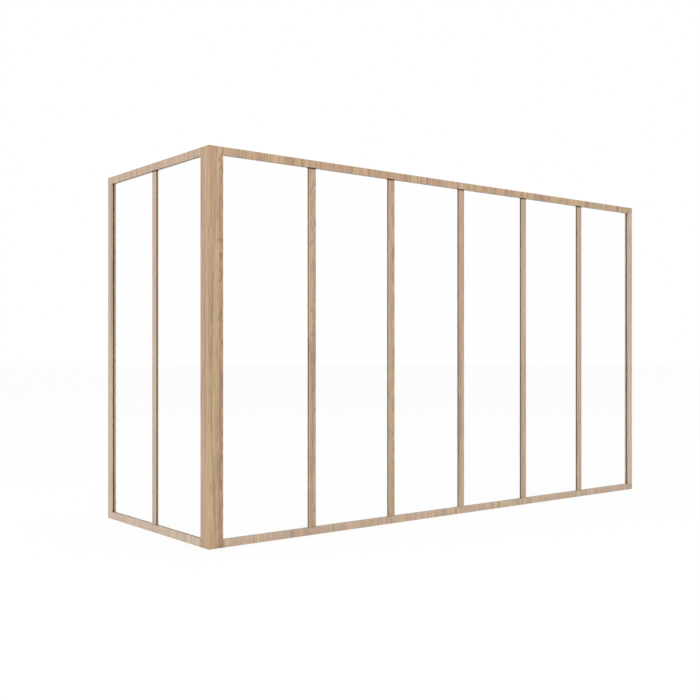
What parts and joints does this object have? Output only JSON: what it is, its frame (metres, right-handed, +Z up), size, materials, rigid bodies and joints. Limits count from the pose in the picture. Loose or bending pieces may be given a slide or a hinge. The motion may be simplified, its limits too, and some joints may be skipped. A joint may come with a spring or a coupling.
{
  "type": "corner glass partition",
  "caption": "Corner glass partition: an oak frame of two unequal legs on a square post, with tall clear panes parted by slim glazing bars.",
  "frame": {"origin": "outer corner of the corner post at its foot, where the outer faces of both legs meet the base", "axes": "+X along the long leg, +Y along the short leg, +Z up; the outer faces look along -Y and -X"},
  "size_m": [1.86, 0.635, 1.08],
  "materials": {
    "oak": "matte",
    "oak_bar": "matte",
    "oak_bead": "matte",
    "glass": "polished",
    "rubber": "matte",
    "beech": "matte",
    "steel": "satin"
  },
  "bodies": {
    "root": {"corner_post": "oak", "long_bottom_rail": "oak", "long_top_rail": "oak", "long_end_stile": "oak", "short_bottom_rail": "oak", "short_top_rail": "oak", "short_end_stile": "oak", "long_bar_1": "oak_bar", "long_bar_2": "oak_bar", "long_bar_3": "oak_bar", "long_bar_4": "oak_bar", "long_bar_5": "oak_bar", "short_bar_1": "oak_bar", "long_pane_1": "glass", "long_pane_2": "glass", "long_pane_3": "glass", "long_pane_4": "glass", "long_pane_5": "glass", "long_pane_6": "glass", "short_pane_1": "glass", "short_pane_2": "glass", "long_gasket_1": "rubber", "long_gasket_2": "rubber", "long_gasket_3": "rubber", "long_gasket_4": "rubber", "long_gasket_5": "rubber", "long_gasket_6": "rubber", "short_gasket_1": "rubber", "short_gasket_2": "rubber", "long_bottom_bead": "oak_bead", "long_top_bead": "oak_bead", "long_end_bead": "oak_bead", "short_bottom_bead": "oak_bead", "short_top_bead": "oak_bead", "short_end_bead": "oak_bead", "bar_packers": "rubber", "frame_dowels": "beech", "bar_screws": "steel", "bead_brads": "steel"}
  },
  "joints": []
}
